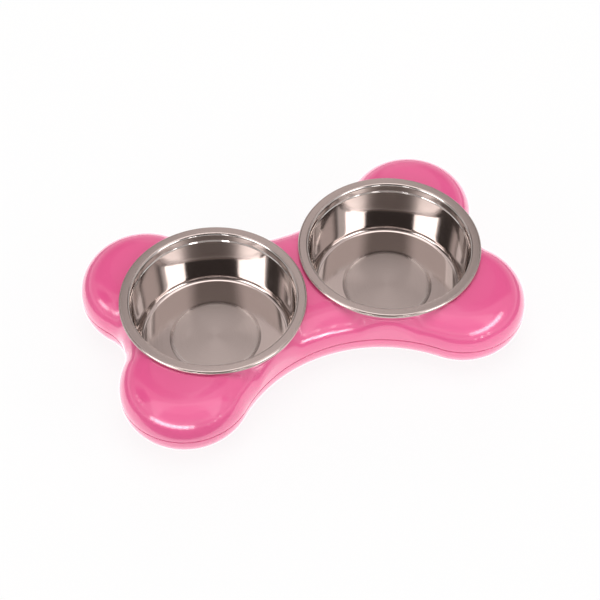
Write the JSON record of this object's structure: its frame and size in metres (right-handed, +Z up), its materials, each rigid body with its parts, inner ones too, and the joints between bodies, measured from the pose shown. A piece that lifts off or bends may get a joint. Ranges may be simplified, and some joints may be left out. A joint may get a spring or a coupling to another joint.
{
  "type": "double pet bowl",
  "caption": "Bone-shaped hollow plastic stand with lift-out pressed steel bowls side by side, on rubber feet, for a pet's food and water.",
  "frame": {"origin": "on the floor, below the centre of the stand", "axes": "+X along the bone from the left bowl to the right bowl, +Y to the rear, +Z up"},
  "size_m": [0.3422, 0.2108, 0.0599],
  "materials": {
    "pink_plastic": "glossy moulded plastic",
    "bowl_steel": "polished stainless steel with a satin floor and rim",
    "foot_rubber": "matt rubber",
    "screw_steel": "zinc-plated steel"
  },
  "bodies": {
    "stand": {"top_shell": "pink_plastic", "bottom_shell": "pink_plastic", "foot_left_front": "foot_rubber", "foot_left_rear": "foot_rubber", "foot_right_front": "foot_rubber", "foot_right_rear": "foot_rubber", "screws": "screw_steel"},
    "bowl_left": {"bowl_left": "bowl_steel"},
    "bowl_right": {"bowl_right": "bowl_steel"}
  },
  "joints": [
    {"name": "bowl_left_lift", "type": "slide", "parent": "stand", "child": "bowl_left", "axis": [0, 0, 1], "range_m": [0, 0.08]},
    {"name": "bowl_right_lift", "type": "slide", "parent": "stand", "child": "bowl_right", "axis": [0, 0, 1], "range_m": [0, 0.08]}
  ]
}
